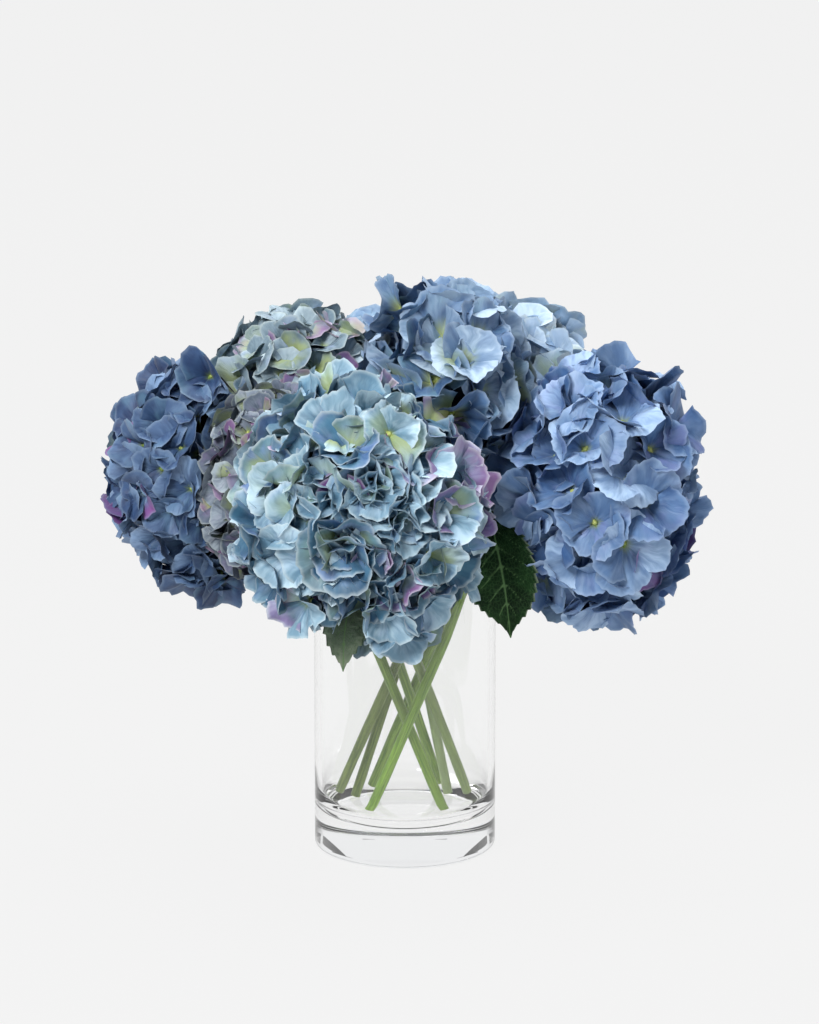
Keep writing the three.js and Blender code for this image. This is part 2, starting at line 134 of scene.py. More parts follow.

# Each head's material slot and petal colours, as red, green and blue out of 255; light is a pale
# colour that is partly the silk's own and partly painted highlight. patch and lime are the shares
# of petals that carry magenta and yellow-green, edge is how clearly the cut rim shows, and eye is
# how far along its petals a floret's green middle reaches.
Dye = namedtuple("Dye", "slot deep mid light tint claw rim patch lime edge eye")
DYES = dict(
    left=Dye(
        "petal_slate_blue", (30, 50, 90), (51, 80, 121), (124, 152, 188), (68, 112, 138),
        (120, 140, 88), (146, 168, 190), 0.03, 0.04, 0.3, 0.42,
    ),
    midleft=Dye(
        "petal_grey_green", (56, 70, 88), (88, 100, 120), (162, 176, 186), (112, 96, 138),
        (144, 160, 86), (186, 196, 188), 0.2, 0.25, 0.35, 0.5,
    ),
    backleft=Dye(
        "petal_grey_green", (72, 98, 116), (110, 132, 146), (184, 204, 214), (100, 120, 168),
        (156, 172, 92), (196, 208, 200), 0.18, 0.3, 0.35, 0.55,
    ),
    front=Dye(
        "petal_pale_teal", (36, 78, 110), (70, 122, 152), (192, 220, 234), (84, 110, 180),
        (168, 184, 104), (218, 230, 230), 0.135, 0.22, 0.42, 0.45,
    ),
    top=Dye(
        "petal_mid_blue", (48, 82, 126), (84, 120, 162), (188, 210, 230), (80, 134, 158),
        (192, 202, 120), (184, 202, 220), 0.04, 0.16, 0.3, 0.7,
    ),
    right=Dye(
        "petal_cornflower", (44, 78, 126), (74, 112, 160), (172, 200, 230), (94, 102, 170),
        (154, 168, 106), (174, 196, 222), 0.03, 0.04, 0.3, 0.42,
    ),
    backright=Dye(
        "petal_pale_teal", (120, 152, 184), (162, 188, 217), (206, 224, 238), (180, 192, 178),
        (186, 202, 128), (216, 228, 232), 0.07, 0.14, 0.3, 0.5,
    ),
    back=Dye(
        "petal_mid_blue", (62, 94, 136), (100, 134, 172), (168, 194, 216), (94, 140, 164),
        (160, 176, 104), (182, 202, 216), 0.05, 0.1, 0.3, 0.45,
    ),
)
MAGENTA = (138, 66, 142)
LIME = (182, 196, 118)
# The two tones of a head's core as shares of its deepest petal colour: painted shade, dark in place
# of the shade among the crowded petal bases
CORE_PAINTED_SHADES = (0.35, 0.6)

# The greens of the stalks, stems and leaves, as the dark and the light of each
STALK_GREENS = ((86, 112, 62), (132, 152, 90))
BUD_GREENS = ((120, 146, 66), (196, 204, 120))
FRESH_GREENS = ((98, 146, 24), (166, 210, 80))
DULL_GREENS = ((88, 108, 42), (140, 156, 84))
LEAF_TOP_GREENS = ((14, 38, 17), (32, 64, 32))
LEAF_UNDER_GREENS = ((100, 116, 98), (142, 154, 132))
BLOT_GREEN = (132, 148, 84)
PALE_GREEN = (200, 214, 172)
SPECK_GREEN = (168, 186, 120)
CUT_GREEN = (190, 204, 104)
WEB_GREEN = (74, 112, 66)
VEIN_GREEN = (106, 142, 92)

# Within these distances of the wall between two heads, of the vase and of the opening before a
# leaf, petals bend to lie along it
WALL_ZONE = 9.0
VASE_ZONE = 6.0
OPENING_ZONE = 5.0
# An opening fades out over the first distance behind its leaf's rib, and no floret stands within
# the second of it
OPENING_FADE = 10.0
OPENING_MARGIN = 2.0
# Florets stand up to this far past a wall, and none within this angle of the stem's way in
OVER_WALL = 9.0
BARE_ANGLE = 0.42

# Leaves, as in the solids
LEAF = {
    "thickness": 0.8, "tooth_length": 2.4, "base_fullness": 0.6, "tip_fullness": 1.4, "fold": 0.3,
    "stalk_radius": 1.5, "stalk_into_blade": 0.35,
}
# Finer than the solids: half the columns of a blade's grid, its rows along one tooth, the number,
# slant and curve of its side veins, how far it bulges between them and how near the rib it does so
# fully, the depth of the ripples along its margin with their radians along and across the blade,
# the forward slant of its rows, and the half width of its rib
BLADE = {
    "columns": 14, "tooth_rows": (0.0, 0.3, 0.6, 0.85, 0.97), "side_veins": 7.0, "slant": 1.7,
    "curve": 1.2, "bulge": 0.9, "bulge_start": 6.0, "ripple": 0.8, "ripple_turns": (21, 2),
    "sweep": 0.18, "rib": 1.1,
}
# What leaf_place holds all over a leaf's stalk
STALK_PLACE = (0.0, 0.5, 0.8)

# stem is the one that carries the leaf and along the place on it. side is the way that the blade's
# right side points, and blade its rib from the stalk to the tip. room is the distance from the rib
# within which no floret stands. opening is the gap among the petals in front of the leaf, as
# heights with its widths to the left and right of the rib. turned is 1 where the pale underside
# faces the front.
Leaf = namedtuple("Leaf", "stem along width teeth room turned side blade opening")
LEAVES = {
    "leaf_right": Leaf(
        "right", 0.84, 50, 16, 22, 0, (0.95, -0.25, 0.1),
        [(58, -34, 250), (64, -48, 226), (69, -55, 200), (73, -53, 165)],
        [(160, 24, 24), (195, 22, 22), (206, 3, 17), (240, 0, 14), (256, -30, -20)],
    ),
    "leaf_left": Leaf(
        "front", 0.84, 30, 11, 16, 1, (0.95, 0.2, 0.15),
        [(-31, -78, 214), (-37, -97, 203), (-41, -108, 184), (-42, -108, 157)],
        [(150, 11, 13), (185, 9, 12), (208, 5, 8), (224, -30, -30)],
    ),
}

# Small helpers


def unit(vectors):
    vectors = np.asarray(vectors, float)
    return vectors / np.maximum(np.linalg.norm(vectors, axis=-1, keepdims=True), 1e-9)


def linear(colour):
    """Red, green and blue out of 255 as the linear colour that a shader takes."""
    shares = [c / 255 for c in colour]
    straight = [s / 12.92 if s <= 0.04045 else ((s + 0.055) / 1.055) ** 2.4 for s in shares]
    return (*straight, 1.0)


def placed(name, data, location=(0, 0, 0)):
    """A new object in the scene."""
    made = bpy.data.objects.new(name, data)
    made.location = location
    bpy.context.scene.collection.objects.link(made)
    return made


def mesh_object(name, points, faces, material, attributes=None, border=None):
    """A smooth mesh from points in millimetres and a list of face arrays. attributes are a vector
    for each point. Edges between two border points are sharp."""
    mesh = bpy.data.meshes.new(name)
    corners = [face for own in faces for face in own.tolist()]
    mesh.from_pydata((np.asarray(points) * MM).tolist(), [], corners, shade_flat=False)
    for key, values in (attributes or {}).items():
        layer = mesh.attributes.new(key, "FLOAT_VECTOR", "POINT")
        layer.data.foreach_set("vector", np.asarray(values, np.float32).ravel())
    if border is not None:
        ends = np.empty(len(mesh.edges) * 2, np.int32)
        mesh.edges.foreach_get("vertices", ends)
        layer = mesh.attributes.new("sharp_edge", "BOOLEAN", "EDGE")
        layer.data.foreach_set("value", np.asarray(border)[ends.reshape(-1, 2)].all(axis=1))
    mesh.materials.append(material)
    return placed(name, mesh)


def joined(parts):
    """Several meshes as one, each given and returned as points, faces and places."""
    points, faces, places = zip(*parts)
    starts = np.cumsum([0, *map(len, points)])
    moved = [np.asarray(f) + start for own, start in zip(faces, starts) for f in own]
    return np.concatenate(points), moved, np.concatenate(places)


def smooth_curve(points, count, per_span=60):
    """Points at even distances along the centripetal Catmull-Rom curve through the given ones."""
    points = np.asarray(points, float)
    padded = np.vstack([2 * points[0] - points[1], points, 2 * points[-1] - points[-2]])
    w = np.linspace(0, 1, per_span, endpoint=False)[:, None]
    samples = []
    for i in range(1, len(padded) - 2):
        p0, p1, p2, p3 = padded[i - 1:i + 3]
        d0, d1, d2 = (np.linalg.norm(b - a) ** 0.5 for a, b in ((p0, p1), (p1, p2), (p2, p3)))
        m1 = ((p1 - p0) / d0 - (p2 - p0) / (d0 + d1) + (p2 - p1) / d1) * d1
        m2 = ((p2 - p1) / d1 - (p3 - p1) / (d1 + d2) + (p3 - p2) / d2) * d1
        square = (-3 * p1 + 3 * p2 - 2 * m1 - m2) * w**2
        samples.append(p1 + m1 * w + square + (2 * p1 - 2 * p2 + m1 + m2) * w**3)
    dense = np.vstack([*samples, points[-1:]])
    steps = np.linalg.norm(np.diff(dense, axis=0), axis=1)
    reach = np.concatenate([[0], np.cumsum(steps)])
    wanted = np.linspace(0, reach[-1], count)
    return np.stack([np.interp(wanted, reach, dense[:, k]) for k in range(3)], axis=1)


def tangents(points):
    return unit(np.gradient(points, axis=0))


def carried_frames(points):
    """Two directions across a curve at each point, turned as little as possible along it."""
    along = tangents(points)
    first = unit(np.cross(along[0], (0.31, 0.22, 1.0)))
    firsts = [first]
    for direction in along[1:]:
        first = unit(first - direction * np.dot(first, direction))
        firsts.append(first)
    firsts = np.array(firsts)
    return firsts, np.cross(along, firsts)


def closed_rings(rings, start, end):
    """Points and faces of equal rings (count, sides, 3), closed by a fan to a point at each end."""
    count, sides, _ = rings.shape
    j = np.arange(sides)
    k = (j + 1) % sides
    low = np.arange(count - 1)[:, None] * sides
    quads = np.stack([low + j, low + k, low + sides + k, low + sides + j], axis=-1).reshape(-1, 4)
    last = (count - 1) * sides
    start_fan = np.stack([np.full(sides, count * sides), k, j], axis=1)
    end_fan = np.stack([np.full(sides, count * sides + 1), last + j, last + k], axis=1)
    return np.vstack([rings.reshape(-1, 3), start, end]), [quads, start_fan, end_fan]


def tube(points, radii, sides, foot_rings=()):
    """A closed tube, its foot shaped by rings of (share of the radius, distance outward). Returns
    points, faces, and for each point its turn, its share of the length and 1 on the foot."""
    points = np.asarray(points, float)
    radii = np.broadcast_to(np.asarray(radii, float), (len(points),))
    firsts, seconds = carried_frames(points)
    start = tangents(points)[0]
    feet = len(foot_rings)
    centres = np.array([*(points[0] - start * out for _, out in foot_rings[::-1]), *points])
    sizes = np.array([*(radii[0] * share for share, _ in foot_rings[::-1]), *radii])[:, None, None]
    source = [0] * feet + list(range(len(points)))
    turns = np.linspace(0, math.tau, sides, endpoint=False)
    cosine, sine = np.cos(turns)[:, None], np.sin(turns)[:, None]
    spokes = cosine * firsts[source][:, None] + sine * seconds[source][:, None]
    mesh_points, faces = closed_rings(centres[:, None] + sizes * spokes, centres[0], centres[-1])
    shares = np.concatenate([np.zeros(feet), np.linspace(0, 1, len(points))])
    foot = np.repeat([1.0, 0.0], [feet, len(points)])
    around = np.tile(turns / math.tau, len(centres))
    place = np.stack([around, np.repeat(shares, sides), np.repeat(foot, sides)], axis=1)
    return mesh_points, faces, np.vstack([place, (0, 0, foot[0]), (0, 1, 0)])


# Node trees


class Nodes:
    """Short calls for building the node tree of one material, or of the world."""

    def __init__(self, name, kind="materials", shader="Principled BSDF"):
        self.block = getattr(bpy.data, kind).new(name)
        self.block.use_nodes = True
        self.tree = self.block.node_tree
        self.shader = self.tree.nodes[shader]

    def feed(self, socket, value):
        """Links a socket or sets it. Three numbers are a colour out of 255."""
        if isinstance(value, bpy.types.NodeSocket):
            self.tree.links.new(value, socket)
        else:
            socket.default_value = linear(value) if np.size(value) == 3 else value

    def add(self, kind, sockets=(), **settings):
        """A new node with these settings, and its sockets fed by name or number."""
        node = self.tree.nodes.new("ShaderNode" + kind)
        for key, value in settings.items():
            setattr(node, key, value)
        for key, value in dict(sockets).items():
            self.feed(node.inputs[key], value)
        return node

    def math(self, operation, *values):
        return self.add("Math", enumerate(values), operation=operation).outputs[0]

    def times(self, first, second):
        return self.math("MULTIPLY", first, second)

    def plus(self, first, second, share=1.0):
        """The first value and this share of the second."""
        return self.math("MULTIPLY_ADD", second, share, first)

    def mix(self, share, first, second):
        return self.add("Mix", {"Factor": share, 6: first, 7: second}, data_type="RGBA").outputs[2]

    def step(self, value, low, high, start=0.0, end=1.0):
        """A smooth step: start up to low, end from high."""
        ends = {"From Min": low, "From Max": high, "To Min": start, "To Max": end}
        node = self.add("MapRange", {"Value": value, **ends}, interpolation_type="SMOOTHSTEP")
        return node.outputs[0]

    def split(self, vector):
        return self.add("SeparateXYZ", {0: vector}).outputs

    def attribute(self, name):
        """The three numbers that the mesh stores at each point under this name."""
        return self.split(self.add("Attribute", attribute_name=name).outputs["Vector"])

    def combine(self, *values):
        return self.add("CombineXYZ", enumerate(values)).outputs[0]

    def place(self, kind="Object"):
        return self.add("TexCoord").outputs[kind]

    def noise(self, vector, scale, detail=2.0, roughness=0.5):
        sockets = {"Vector": vector, "Scale": scale, "Detail": detail, "Roughness": roughness}
        return self.add("TexNoise", sockets).outputs[0]

    def shades(self, pattern, low, high, colours):
        """The dark and the light of a pair of colours, as a pattern goes from low to high."""
        return self.mix(self.step(pattern, low, high), *colours)

    def bump(self, height, strength, distance):
        sockets = {"Height": height, "Strength": strength, "Distance": distance}
        self.set(Normal=self.add("Bump", sockets).outputs[0])

    def set(self, **values):
        for key, value in values.items():
            self.feed(self.shader.inputs[key.replace("_", " ")], value)


def petal_material(name, dye):
    """Dyed silk with painted highlight: streaks run out from the claw, light petals pale towards
    the rim partly by dye and partly as painted highlight, the rim is pale, and some petals carry
    patches.
    """
    n = Nodes(name)
    across, along, own = n.attribute("petal_place")
    light, patch, lime = n.attribute("petal_dye_and_highlight")

    def pattern(over, width, length, scale, detail=2.0, roughness=0.5, shift=0.0):
        """Noise set out across and along the petal, which differs from petal to petal."""
        spot = n.combine(n.times(over, width), n.times(along, length), n.plus(shift, own, 57.0))
        return n.noise(spot, scale, detail, roughness)

    blots = pattern(across, width=1.1, length=1.5, scale=1.4)
    far_blots = pattern(across, width=1.0, length=1.2, scale=1.2, shift=9.0)
    swerve = n.plus(across, blots, 0.5)
    streaks = pattern(swerve, width=4.5, length=1.3, scale=1.2, detail=3.0, roughness=0.55)
    veins = pattern(swerve, width=22.0, length=2.0, scale=1.0)

    # The ground goes from deep to mid, with clouds of the tint
    colour = n.mix(n.step(n.plus(blots, light, 0.4), low=0.42, high=0.86), dye.deep, dye.mid)
    colour = n.mix(n.step(far_blots, low=0.48, high=0.75, end=0.7), colour, dye.tint)
    # Light petals pale along their streaks and towards the rim, partly the silk's own paler tone
    # and partly painted highlight in place of lit, satin faces, and streaks leave dark lines
    glow = n.step(n.plus(n.times(streaks, 0.45), far_blots, 0.55), low=0.4, high=0.64)
    reach = n.step(along, low=0.1, high=0.95, start=0.45)
    pale_and_highlight = n.times(n.step(light, low=0.3, high=0.95), n.plus(0.4, glow, 0.6))
    colour = n.mix(n.plus(n.times(pale_and_highlight, reach), glow, 0.14), colour, dye.light)
    colour = n.mix(n.step(streaks, low=0.46, high=0.24, end=0.22), colour, dye.deep)
    # Magenta at the outer end, yellow-green further in, green at the claw and a pale rim
    outer = n.step(n.plus(along, blots, 1.3), low=0.9, high=1.75, end=0.82)
    colour = n.mix(n.times(patch, outer), colour, MAGENTA)
    inner = n.step(n.plus(along, far_blots, 1.2), low=1.75, high=0.95)
    colour = n.mix(n.times(lime, inner), colour, LIME)
    claw = n.step(n.plus(along, streaks, 0.3), low=dye.eye, high=0.15, end=0.85)
    colour = n.mix(claw, colour, dye.claw)
    rim = n.step(n.plus(along, blots, 0.05), low=0.93, high=1.03, end=dye.edge)
    colour = n.mix(rim, colour, dye.rim)

    n.set(Base_Color=colour, Roughness=n.plus(0.42, veins, 0.25))
    n.set(Specular_IOR_Level=0.42, Sheen_Weight=0.08, Sheen_Roughness=0.45)
    n.bump(n.plus(n.times(veins, 0.6), streaks, 0.8), strength=0.42, distance=0.0011)
    return n.block


def stalk_material():
    """Fine green stalks and the small buds in the middle of the florets."""
    n = Nodes("floret_green")
    is_bud, _, own = n.attribute("stalk_place")
    blots = n.noise(n.place(), scale=160.0, detail=3.0)
    stalk = n.shades(blots, 0.35, 0.7, STALK_GREENS)
    bud = n.shades(blots, 0.35, 0.65, BUD_GREENS)
    n.set(Base_Color=n.mix(is_bud, stalk, bud), Roughness=n.plus(0.5, own, 0.2))
    n.bump(blots, strength=0.3, distance=0.0005)
    return n.block


def core_material(name, dye):
    """Painted shade: the inside of a head, where the petals' bases crowd together, coloured dark
    shares of its deepest petal colour in place of the shade there.
    """
    n = Nodes(name)
    blots = n.noise(n.place(), scale=70.0, detail=4.0)
    shades = [[share * c for c in dye.deep] for share in CORE_PAINTED_SHADES]
    n.set(Base_Color=n.shades(blots, 0.35, 0.7, shades), Roughness=0.85)
    n.bump(blots, strength=0.8, distance=0.004)
    return n.block


def stem_material():
    """Striped green, blotched and specked, with a pale cut end."""
    n = Nodes("stem_green")
    turn, along, foot = n.attribute("stem_place")
    grey, pale, _ = n.attribute("stem_tone")
    angle = n.times(turn, math.tau)
    ring = n.combine(n.math("COSINE", angle), n.math("SINE", angle), n.times(along, 3.0))
    stripes = n.noise(ring, scale=4.5, detail=3.0, roughness=0.6)
    blots = n.noise(n.place(), scale=22.0, detail=3.0)
    specks = n.noise(n.place(), scale=480.0)
    fresh = n.shades(stripes, 0.32, 0.68, FRESH_GREENS)
    dull = n.shades(stripes, 0.32, 0.68, DULL_GREENS)
    # The grey and the pale are partly the stem's own tone and partly painted haze of the glass's
    # reflections
    colour = n.mix(grey, fresh, dull)
    colour = n.mix(n.step(blots, low=0.42, high=0.66, end=0.35), colour, BLOT_GREEN)
    colour = n.mix(n.times(pale, 0.6), colour, PALE_GREEN)
    colour = n.mix(n.step(specks, low=0.6, high=0.72, end=0.25), colour, SPECK_GREEN)
    colour = n.mix(foot, colour, CUT_GREEN)
    n.set(Base_Color=colour, Roughness=n.plus(0.27, stripes, 0.15), Specular_IOR_Level=0.55)
    n.bump(n.plus(stripes, specks, 0.15), strength=0.12, distance=0.0006)
    return n.block


def leaf_material():
    """Dark above and grey-green below, with a fine web and lighter veins. leaf_place holds the
    share of the half width, the share of the length and the nearness to a vein, and leaf_kind the
    leaf's width and 1 on its underside."""
    n = Nodes("leaf_green")
    across, along, vein = n.attribute("leaf_place")
    size, under, _ = n.attribute("leaf_kind")
    spot = n.combine(n.times(across, 6.0), n.times(along, 18.0), size)
    cells = n.add("TexVoronoi", {"Vector": spot, "Scale": 1.6}, feature="DISTANCE_TO_EDGE")
    web = n.step(cells.outputs[0], low=0.1, high=0.02)
    blots = n.noise(n.place(), scale=60.0, detail=4.0)
    top = n.shades(blots, 0.35, 0.7, LEAF_TOP_GREENS)
    below = n.shades(blots, 0.35, 0.7, LEAF_UNDER_GREENS)
    colour = n.mix(n.times(web, 0.28), n.mix(under, top, below), WEB_GREEN)
    colour = n.mix(n.step(vein, low=0.3, high=0.95, end=0.8), colour, VEIN_GREEN)
    n.set(Base_Color=colour, Roughness=n.plus(0.5, blots, 0.2), Specular_IOR_Level=0.12)
    n.bump(n.plus(blots, web, -0.8), strength=0.5, distance=0.0008)
    return n.block


def glass_material():
    n = Nodes("clear_glass")
    waves = n.noise(n.place(), scale=9.0, detail=1.0)
    n.set(Base_Color=n.mix(waves, (0.99, 0.995, 0.992, 1.0), (1.0, 1.0, 1.0, 1.0)))
    n.set(Roughness=0.0, IOR=1.5, Transmission_Weight=1.0, Specular_IOR_Level=0.5)
    return n.block


# Vase


def arc(centre_x, centre_z, radius, start, end):
    angles = np.linspace(start, end, VASE["arc_steps"] + 1)
    return [(centre_x + radius * math.cos(a), centre_z + radius * math.sin(a)) for a in angles]


def vase_profile():
    """The vase's half section from the middle of its foot up the outside and down the inside."""
    radius, height, floor = VASE["radius"], VASE["height"], VASE["floor"]
    foot, lip, bed = VASE["foot_round"], VASE["lip_round"], VASE["bed_round"]
    inner = radius - VASE["wall"]
    quarter = math.pi / 2
    profile = [(r, 0) for r in FOOT_RADII]
    profile += arc(radius - foot, foot, foot, -quarter, 0)
    profile += [(radius, z) for z in OUTSIDE_HEIGHTS]
    profile += arc(radius - lip, height - lip, lip, 0, quarter)
    profile += arc(inner + lip, height - lip, lip, quarter, math.pi)
    profile += [(inner, z) for z in INSIDE_HEIGHTS]
    profile += arc(inner - bed, floor + bed, bed, 0, -quarter)
    profile += [(r, floor) for r in BED_RADII]
    return np.array(profile, float)


def make_vase(material):
    profile = vase_profile()
    turns = np.linspace(0, math.tau, VASE["sides"], endpoint=False)
    r, z = profile[1:-1, 0, None], profile[1:-1, 1, None]
    rings = np.stack([r * np.cos(turns), r * np.sin(turns), z + 0 * turns], axis=-1)
    ends = [(0, 0, profile[i, 1]) for i in (0, -1)]
    vase = mesh_object("vase_glass", *closed_rings(rings, *ends), material)
    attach(vase, "root")
    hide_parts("vase")


# Stems


def bed_height(distance):
    """The height of the glass under a place inside the vase, from its distance to the axis."""
    bed = VASE["bed_round"]
    past = max(0, distance - (VASE["radius"] - VASE["wall"] - bed))
    return VASE["floor"] + bed - math.sqrt(bed**2 - past**2)


def foot_height(foot, rim):
    """The height at which a slanting cut end stands just clear of the glass all round its edge."""
    direction = unit(rim - np.array((*foot, VASE["floor"])))
    first = unit(np.cross((0, 0, 1), direction))
    second = np.cross(direction, first)
    heights = []
    for angle in np.linspace(0, math.tau, 24, endpoint=False):
        edge = STEM["radius"] * (math.cos(angle) * first + math.sin(angle) * second)
        heights.append(bed_height(math.hypot(foot[0] + edge[0], foot[1] + edge[1])) - edge[2])
    return max(heights) + STEM["foot_gap"] * STEM["gap"]


def stem_line(name, count):
    stem = STEMS[name]
    rim = np.array((*stem.rim, RIM_POINT_HEIGHT))
    start = np.array((*stem.foot, foot_height(stem.foot, rim)))
    straight = [start + (rim - start) * share for share in STRAIGHT_SHARES]
    centre = np.array(HEADS[name].centre, float)
    end = centre + (stem.entry - centre) * STEM["end_share"]
    return smooth_curve([start, *straight, rim, stem.entry, end], count)


def make_stem(name, material, rng):
    rough = stem_line(name, 40)
    length = np.linalg.norm(np.diff(rough, axis=0), axis=1).sum()
    line = stem_line(name, int(length / STEM["step"]))
    shares = np.linspace(0, 1, len(line))
    swell = np.ones(len(line))
    for depth, waves in SWELLS:
        swell += depth * np.sin(shares * waves + rng.uniform(0, 6))
    points, faces, place = tube(line, STEM["radius"] * swell, STEM["sides"], CUT_RINGS)
    place[:, 1] += rng.uniform(0, 9)
    tone = np.tile((STEMS[name].grey, STEMS[name].pale, 0), (len(points), 1))
    attributes = {"stem_place": place, "stem_tone": tone}
    stem = mesh_object(f"stem_{name}_fine", points, faces, material, attributes)
    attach(stem, "root")
    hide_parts(f"stem_{name}")


# Leaves


def leaf_half_width(leaf, share):
    fullness = np.where(share < 0.5, LEAF["base_fullness"], LEAF["tip_fullness"])
    return leaf.width / 2 * np.clip(np.sin(math.pi * np.clip(share, 0, 1)), 0, 1) ** fullness


def leaf_blade(leaf):
    """A toothed blade folded along its rib, quilted between its side veins: a grid of points and
    their places."""
    steps = BLADE["tooth_rows"]
    rows = [(tooth + step) / leaf.teeth for tooth in range(leaf.teeth) for step in steps]
    rows = np.array([*rows, 1.0])
    rise = np.array([*steps] * leaf.teeth + [0.0])
    rib = smooth_curve(leaf.blade, 400)
    spots = rows * (len(rib) - 1)
    line = np.stack([np.interp(spots, np.arange(len(rib)), rib[:, k]) for k in range(3)], axis=1)
    along = tangents(line)
    side = unit(leaf.side)
    across = unit(side - along * (along @ side)[:, None])
    up = np.cross(along, across)
    taper = np.clip(leaf_half_width(leaf, rows) / (leaf.width / 4), 0, 1)
    half = leaf_half_width(leaf, rows) + LEAF["tooth_length"] * rise**1.4 * taper
    columns = np.linspace(-1, 1, BLADE["columns"] * 2 + 1)
    shares = rows[:, None]
    x = half[:, None] * columns
    phase = shares * BLADE["side_veins"] - BLADE["slant"] * np.abs(columns) ** BLADE["curve"]
    phase = phase % 1.0
    off_vein = np.minimum(phase, 1 - phase) * 2
    inside = np.clip(np.abs(x) / BLADE["bulge_start"], 0, 1) * (1 - np.abs(columns) ** 6)
    lift = LEAF["fold"] * (np.sqrt(x**2 + 4) - 2) + BLADE["bulge"] * np.sqrt(off_vein) * inside
    onward, outward = BLADE["ripple_turns"]
    ripple = np.sin(shares * onward + columns * outward)
    lift += BLADE["ripple"] * ripple * np.abs(columns) ** 2
    slide = BLADE["sweep"] * np.abs(x) * (1 - shares)
    sheet = line[:, None] + across[:, None] * x[..., None] + up[:, None] * lift[..., None]
    sheet = sheet + along[:, None] * slide[..., None]
    near_side_vein = np.clip(1 - off_vein / 0.3, 0, 1) * (1 - 0.35 * np.abs(columns))
    nearness = np.maximum(np.clip(1 - np.abs(x) / BLADE["rib"], 0, 1), near_side_vein)
    place = np.stack(np.broadcast_arrays(columns, shares, nearness), axis=-1)
    return sheet, place


def thick_sheet(sheets, half_thickness):
    """Closes grids of points (count, rows, columns, 3) into shells that thin out to their borders.
    Returns the points (count, n, 3), one shell's quads (m, 4), the grid point that each of its
    points comes from, and whether that is on the border."""
    _, rows, columns, _ = sheets.shape
    normals = unit(np.cross(np.gradient(sheets, axis=2), np.gradient(sheets, axis=1)))
    inner = np.zeros((rows, columns), bool)
    inner[1:-1, 1:-1] = True
    offset = normals * np.asarray(half_thickness)[..., None]
    offset[:, ~inner] = 0
    front = (sheets + offset).reshape(len(sheets), -1, 3)
    back = (sheets - offset)[:, inner]
    front_index = np.arange(rows * columns).reshape(rows, columns)
    back_index = front_index.copy()
    back_index[inner] = rows * columns + np.arange(inner.sum())

    def quads(index):
        corners = (index[:-1, :-1], index[:-1, 1:], index[1:, 1:], index[1:, :-1])
        return np.stack(corners, axis=-1).reshape(-1, 4)

    faces = np.vstack([quads(front_index), quads(back_index)[:, ::-1]])
    source = np.concatenate([front_index.ravel(), front_index[inner]])
    on_border = np.concatenate([~inner.ravel(), np.zeros(inner.sum(), bool)])
    return np.concatenate([front, back], axis=1), faces, source, on_border


def make_leaf(name, leaf, material):
    sheet, place = leaf_blade(leaf)
    shells, quads, source, border = thick_sheet(sheet[None], LEAF["thickness"] / 2)
    stem = stem_line(leaf.stem, 200)
    joint = round(leaf.along * (len(stem) - 1))
    first, second = np.array(leaf.blade[:2], float)
    outward = unit(first - stem[joint])
    leaning = abs(outward @ tangents(stem)[joint])
    clear = STEM["radius"] + STEM["gap"] + LEAF["stalk_radius"] * leaning
    start = stem[joint] + outward * clear / math.sqrt(1 - leaning**2)
    into = first + (second - first) * LEAF["stalk_into_blade"]
    line = smooth_curve([start, first, into], 14)
    stalk_points, stalk_faces, _ = tube(line, LEAF["stalk_radius"] * np.linspace(1, 0.45, 14), 10)
    stalk_place = np.tile(STALK_PLACE, (len(stalk_points), 1))
    blade = (shells[0], [quads], place.reshape(-1, 3)[source])
    points, faces, places = joined([blade, (stalk_points, stalk_faces, stalk_place)])
    on_top = np.arange(len(source)) < place[..., 0].size
    kind = np.zeros((len(points), 3))
    kind[:, 0] = leaf.width
    kind[:len(source), 1] = on_top != leaf.turned
    attributes = {"leaf_place": places, "leaf_kind": kind}
    border = np.concatenate([border, np.zeros(len(stalk_points), bool)])
    piece = mesh_object(f"{name}_fine", points, faces, material, attributes, border)
    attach(piece, "root")
    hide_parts(name)


# Heads

# How unevenly florets are spread, as a share of the distance between them, and how far their axes
# stray. A hexagonal pattern holds one floret in this share of the square of its spacing.
SPREAD_JITTER = 0.24
AXIS_JITTER = 0.26
HEXAGON_SHARE = 0.866


def walls_of(name):
    """The walls between this head and those it meets, as (outward normal, point on it)."""
    centre = np.array(HEADS[name].centre, float)
    walls = []
    for other, head in HEADS.items():
        if other == name:
            continue
        direction = head.centre - centre
        distance = np.linalg.norm(direction)
        direction /= distance
        own_reach = 1 / np.linalg.norm(direction / HEADS[name].radii)
        other_reach = 1 / np.linalg.norm(direction / head.radii)
        if distance <= own_reach + other_reach + WALL_ZONE:
            share = own_reach / (own_reach + other_reach)
            walls.append((direction, centre + direction * (distance * share + HEADS[name].reach)))
    return walls


def past_opening(points, claws, leaf):
    """The side of a leaf's rib on which the claws are, -1 for left and 1 for right, how far points
    are clear of the opening on that side, and the share by which they are before the leaf."""
    rib = smooth_curve(leaf.blade, 12)[::-1]
    sides = np.where(claws[..., 0] < np.interp(claws[..., 2], rib[:, 2], rib[:, 0]), -1.0, 1.0)
    height, left, right = np.array(leaf.opening, float).T
    z = points[..., 2]
    width = np.where(sides < 0, np.interp(z, height, left), np.interp(z, height, right))
    clear = (points[..., 0] - np.interp(z, rib[:, 2], rib[:, 0])) * sides - width
    depth = np.interp(z, rib[:, 2], rib[:, 1]) + OPENING_FADE - points[..., 1]
    return sides, clear, np.clip(depth / OPENING_FADE, 0, 1)


def pressed(distance, zone):
    """How far a point at this distance is pushed, so that distances below zone stay above 0 and
    keep their order."""
    kept = zone * np.exp(np.minimum(distance / zone - 1, 0))
    return np.where(distance < zone, kept - distance, 0)


def open_before_leaves(sheets):
    """Bends petals sideways out of the openings in front of the leaves, each to its claw's side."""
    for leaf in LEAVES.values():
        claws = sheets[:, 0].mean(axis=1)[:, None, None]
        sides, clear, before = past_opening(sheets, claws, leaf)
        sheets = sheets.copy()
        sheets[..., 0] += sides * (pressed(clear, OPENING_ZONE) * before)
    return sheets


